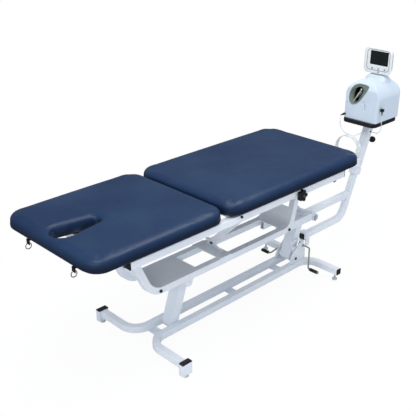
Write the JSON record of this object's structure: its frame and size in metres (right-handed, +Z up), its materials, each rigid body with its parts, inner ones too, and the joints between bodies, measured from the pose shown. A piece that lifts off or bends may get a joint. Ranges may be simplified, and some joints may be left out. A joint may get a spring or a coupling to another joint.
{
  "type": "chiropractic table",
  "caption": "Padded sectional treatment table on a crank-lifted tube frame, with a face slot, a sliding lumbar section and a mast carrying a traction unit, display and hand switch.",
  "frame": {"origin": "on the floor under the middle of the whole object", "axes": "+Z up, +X along the table from the head end to the mast, +Y to the side with the pedal"},
  "size_m": [2.5, 0.69, 1.215],
  "materials": {
    "frame_paint": "satin powder coat",
    "zinc_steel": "zinc plated",
    "black_steel": "black powder coat",
    "bright_steel": "polished",
    "vinyl": "soft vinyl",
    "plywood": "black stained",
    "nylon": "plain",
    "black_plastic": "fine texture",
    "black_rubber": "matte",
    "unit_plastic": "semi gloss",
    "grey_plastic": "fine texture",
    "screen_glass": "clear over a dark panel",
    "button_plastic": "plain",
    "rope_fibre": "braided",
    "lead_sheath": "smooth"
  },
  "bodies": {
    "base": {"base_rail_near": "frame_paint", "base_rail_far": "frame_paint", "foot_caps": "black_plastic", "base_brackets": "frame_paint", "lower_bolts": "zinc_steel"},
    "glide_head_near_body": {"glide_head_near": "bright_steel"},
    "glide_head_far_body": {"glide_head_far": "bright_steel"},
    "glide_mast_near_body": {"glide_mast_near": "bright_steel"},
    "glide_mast_far_body": {"glide_mast_far": "bright_steel"},
    "arm_head": {"lift_arm_head": "frame_paint"},
    "arm_mast": {"lift_arm_mast": "frame_paint", "lift_quadrant": "zinc_steel"},
    "crank": {"crank_rod": "zinc_steel"},
    "grip": {"crank_grip": "black_plastic"},
    "pedal": {"pedal_lever": "zinc_steel", "pedal_sleeve": "black_rubber"},
    "lift_frame": {"mid_rail_near": "frame_paint", "mid_rail_far": "frame_paint", "pan_head": "frame_paint", "pan_mast": "frame_paint", "cross_deck": "frame_paint", "cross_stays": "frame_paint", "frame_bolts": "black_steel", "pivot_carriers": "frame_paint", "mast_lower": "frame_paint", "mast_brace": "frame_paint", "top_rail_near": "frame_paint", "top_rail_far": "frame_paint", "top_cross_bars": "frame_paint", "end_plugs": "black_plastic", "head_board": "plywood", "head_cushion": "vinyl", "harness_tabs": "black_steel"},
    "ring_near": {"harness_ring_near": "bright_steel"},
    "ring_far": {"harness_ring_far": "bright_steel"},
    "lumbar": {"lumbar_board": "plywood", "lumbar_cushion": "vinyl", "lumbar_sliders": "nylon"},
    "lock": {"lock_knob": "black_plastic"},
    "upper_mast": {"mast_sleeve": "frame_paint", "tray": "black_plastic", "unit_shell": "unit_plastic", "window_rim": "grey_plastic", "traction_rope": "rope_fibre", "switch_plug": "black_plastic", "switch_lead_top": "lead_sheath", "switch_lead_coil": "lead_sheath", "switch_lead_tail": "lead_sheath", "hand_switch": "black_plastic", "side_lead": "lead_sheath", "side_lead_ends": "black_plastic"},
    "mast_clamp": {"mast_knob": "black_plastic"},
    "pulley": {"rope_pulley": "grey_plastic"},
    "pod": {"display_pod": "unit_plastic", "screen": "screen_glass"},
    "key_left": {"button_left": "button_plastic"},
    "key_middle": {"button_middle": "button_plastic"},
    "key_right": {"button_right": "button_plastic"},
    "key_lower": {"button_lower": "button_plastic"},
    "switch_key": {"switch_button": "button_plastic"}
  },
  "joints": [
    {"name": "head_arm_hinge", "type": "hinge", "parent": "base", "child": "arm_head", "pos_m": [-0.572, 0, 0.0585], "axis": [0, 1, 0], "range_deg": [0, 38]},
    {"name": "frame_hinge", "type": "hinge", "parent": "arm_head", "child": "lift_frame", "pos_m": [-0.49691, 0, 0.28961], "axis": [0, 1, 0], "range_deg": [-38, 0]},
    {"name": "mast_arm_hinge", "type": "hinge", "parent": "base", "child": "arm_mast", "pos_m": [0.358, 0, 0.104], "axis": [0, 1, 0], "range_deg": [0, 38]},
    {"name": "crank_hinge", "type": "hinge", "parent": "base", "child": "crank", "pos_m": [0.41696, 0, 0.172], "axis": [0, 1, 0], "range_deg": [0, 266]},
    {"name": "grip_spin", "type": "hinge", "parent": "crank", "child": "grip", "pos_m": [0.41696, -0.159, 0.034], "axis": [0, -1, 0], "continuous": true},
    {"name": "pedal_hinge", "type": "hinge", "parent": "base", "child": "pedal", "pos_m": [0.44, 0.118, 0.088], "axis": [0, 1, 0], "range_deg": [-10, 0], "stiffness_Nm_per_rad": 3, "springref_deg": 5.73},
    {"name": "lumbar_slide", "type": "slide", "parent": "lift_frame", "child": "lumbar", "axis": [1, 0, 0], "range_m": [0, 0.15]},
    {"name": "lock_knob_turn", "type": "hinge", "parent": "lift_frame", "child": "lock", "pos_m": [0.037, -0.333, 0.688], "axis": [0, -1, 0], "range_deg": [0, 180]},
    {"name": "mast_slide", "type": "slide", "parent": "lift_frame", "child": "upper_mast", "axis": [0.3746, 0, 0.9272], "range_m": [-0.08, 0.12]},
    {"name": "mast_knob_turn", "type": "hinge", "parent": "upper_mast", "child": "mast_clamp", "pos_m": [1.09469, 0, 0.66124], "axis": [0.9272, 0, -0.3746], "range_deg": [0, 180]},
    {"name": "pulley_spin", "type": "hinge", "parent": "upper_mast", "child": "pulley", "pos_m": [1.034, 0.035, 0.945], "axis": [0, 0.8581, 0.5135], "continuous": true},
    {"name": "pod_tilt", "type": "hinge", "parent": "upper_mast", "child": "pod", "pos_m": [1.158, 0, 1.072], "axis": [0, 1, 0], "range_deg": [-12, 12]},
    {"name": "ring_near_swing", "type": "hinge", "parent": "lift_frame", "child": "ring_near", "pos_m": [-1.2325, -0.187, 0.6979], "axis": [1, 0, 0], "range_deg": [-50, 50]},
    {"name": "ring_far_swing", "type": "hinge", "parent": "lift_frame", "child": "ring_far", "pos_m": [-1.2325, 0.154, 0.6979], "axis": [1, 0, 0], "range_deg": [-50, 50]},
    {"name": "button_left_press", "type": "slide", "parent": "pod", "child": "key_left", "axis": [1, 0, 0], "range_m": [0, 0.0015], "stiffness_N_per_m": 300, "springref_m": -0.001},
    {"name": "button_middle_press", "type": "slide", "parent": "pod", "child": "key_middle", "axis": [1, 0, 0], "range_m": [0, 0.0015], "stiffness_N_per_m": 300, "springref_m": -0.001},
    {"name": "button_right_press", "type": "slide", "parent": "pod", "child": "key_right", "axis": [1, 0, 0], "range_m": [0, 0.0015], "stiffness_N_per_m": 300, "springref_m": -0.001},
    {"name": "button_lower_press", "type": "slide", "parent": "pod", "child": "key_lower", "axis": [1, 0, 0], "range_m": [0, 0.0015], "stiffness_N_per_m": 300, "springref_m": -0.001},
    {"name": "switch_button_press", "type": "slide", "parent": "upper_mast", "child": "switch_key", "axis": [0, 0, 1], "range_m": [0, 0.002], "stiffness_N_per_m": 400, "springref_m": -0.001},
    {"name": "glide_head_near_level", "type": "slide", "parent": "base", "child": "glide_head_near_body", "axis": [0, 0, -1], "range_m": [0, 0.012]},
    {"name": "glide_head_far_level", "type": "slide", "parent": "base", "child": "glide_head_far_body", "axis": [0, 0, -1], "range_m": [0, 0.012]},
    {"name": "glide_mast_near_level", "type": "slide", "parent": "base", "child": "glide_mast_near_body", "axis": [0, 0, -1], "range_m": [0, 0.012]},
    {"name": "glide_mast_far_level", "type": "slide", "parent": "base", "child": "glide_mast_far_body", "axis": [0, 0, -1], "range_m": [0, 0.012]}
  ],
  "couplings": [
    {"joint": "frame_hinge", "follows": "head_arm_hinge", "ratio": -1},
    {"joint": "mast_arm_hinge", "follows": "head_arm_hinge", "ratio": 1},
    {"joint": "crank_hinge", "follows": "head_arm_hinge", "ratio": 7}
  ]
}
